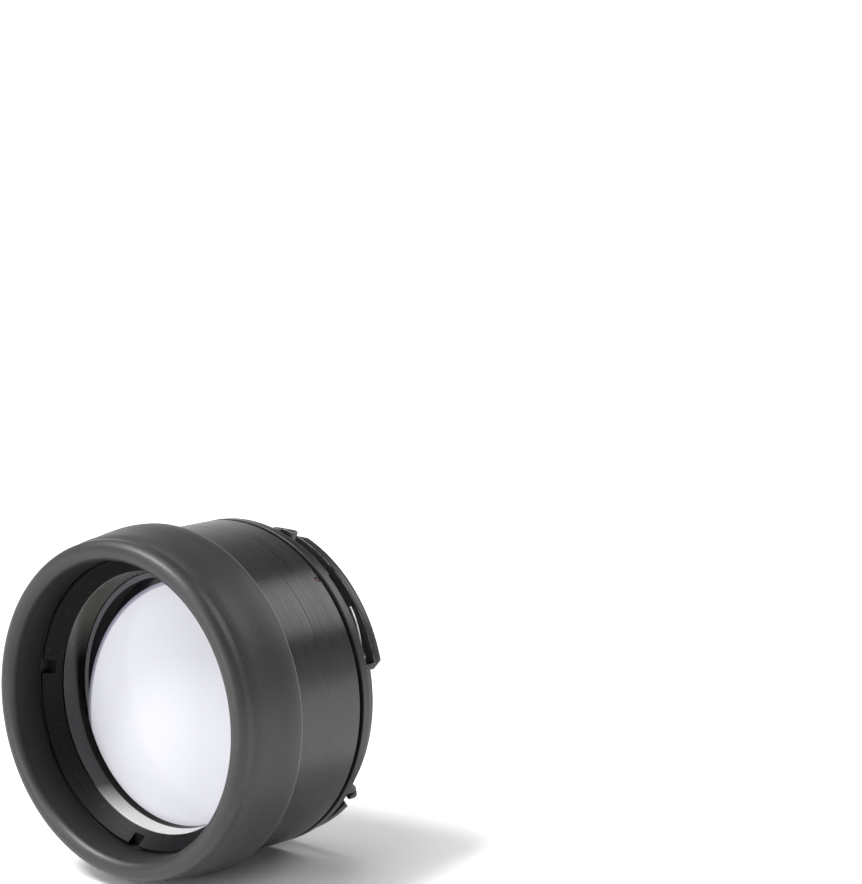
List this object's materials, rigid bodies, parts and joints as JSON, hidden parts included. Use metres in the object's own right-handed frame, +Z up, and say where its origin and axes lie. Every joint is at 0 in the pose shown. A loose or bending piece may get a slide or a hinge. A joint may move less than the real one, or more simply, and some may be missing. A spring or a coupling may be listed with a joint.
{
  "type": "barlow lens",
  "caption": "Afocal magnifying converter lens: rubber front bumper, black barrel, glass doublet behind a stepped ring, and a bayonet tail with arched slots and click springs.",
  "frame": {"origin": "on the optical axis, within 0.2 mm of the centre of the bounding box", "axes": "+Y along the optical axis from the front glass towards the bayonet tail, +Z up with the lens on its side, +X to the right seen from the front"},
  "size_m": [0.0658, 0.0396, 0.0658],
  "materials": {
    "rubber": "matte moulded rubber with a fine grain",
    "anodised": "black anodised, fine turning marks round the axis",
    "satin_black": "satin black anodised, faint turning marks",
    "bayonet_black": "satin black anodised, bright metal on worn and chamfered edges",
    "matt_black": "matt black paint against stray light",
    "seal_black": "smooth black rubber",
    "steel": "bright spring steel with fine brushing",
    "glass": "polished and coated optical glass, pale lavender reflection",
    "index_red": "satin dark red enamel"
  },
  "bodies": {
    "lens_body": {"rubber_bumper": "rubber", "main_barrel": "anodised", "index_dot": "index_red", "front_retaining_ring": "satin_black", "front_clamp_sleeve": "satin_black", "front_crown_lens": "glass", "front_flint_lens": "glass", "front_lens_seal": "seal_black", "baffle_tube": "matt_black", "rear_lens_seal": "seal_black", "rear_lens": "glass", "rear_retaining_ring": "satin_black", "flange_gasket": "seal_black", "bayonet_ring": "bayonet_black", "bayonet_screw_1": "steel", "bayonet_screw_2": "steel", "bayonet_screw_3": "steel", "bayonet_screw_4": "steel", "bayonet_screw_5": "steel", "bayonet_screw_6": "steel", "spring_rivet_1": "steel", "spring_rivet_2": "steel", "spring_rivet_3": "steel"},
    "click_spring_1": {"click_spring_1": "steel"},
    "click_spring_2": {"click_spring_2": "steel"},
    "click_spring_3": {"click_spring_3": "steel"}
  },
  "joints": [
    {"name": "click_spring_1_flex", "type": "hinge", "parent": "lens_body", "child": "click_spring_1", "pos_m": [0.0278, 0.01558, 0.00893], "axis": [0.9521, 0, 0.3057], "range_deg": [0, 6], "stiffness_Nm_per_rad": 0.02, "springref_deg": -1.15},
    {"name": "click_spring_2_flex", "type": "hinge", "parent": "lens_body", "child": "click_spring_2", "pos_m": [-0.00315, 0.01558, -0.02903], "axis": [-0.108, 0, -0.9942], "range_deg": [0, 6], "stiffness_Nm_per_rad": 0.02, "springref_deg": -1.15},
    {"name": "click_spring_3_flex", "type": "hinge", "parent": "lens_body", "child": "click_spring_3", "pos_m": [-0.02263, 0.01558, 0.01845], "axis": [-0.7749, 0, 0.632], "range_deg": [0, 6], "stiffness_Nm_per_rad": 0.02, "springref_deg": -1.15}
  ]
}
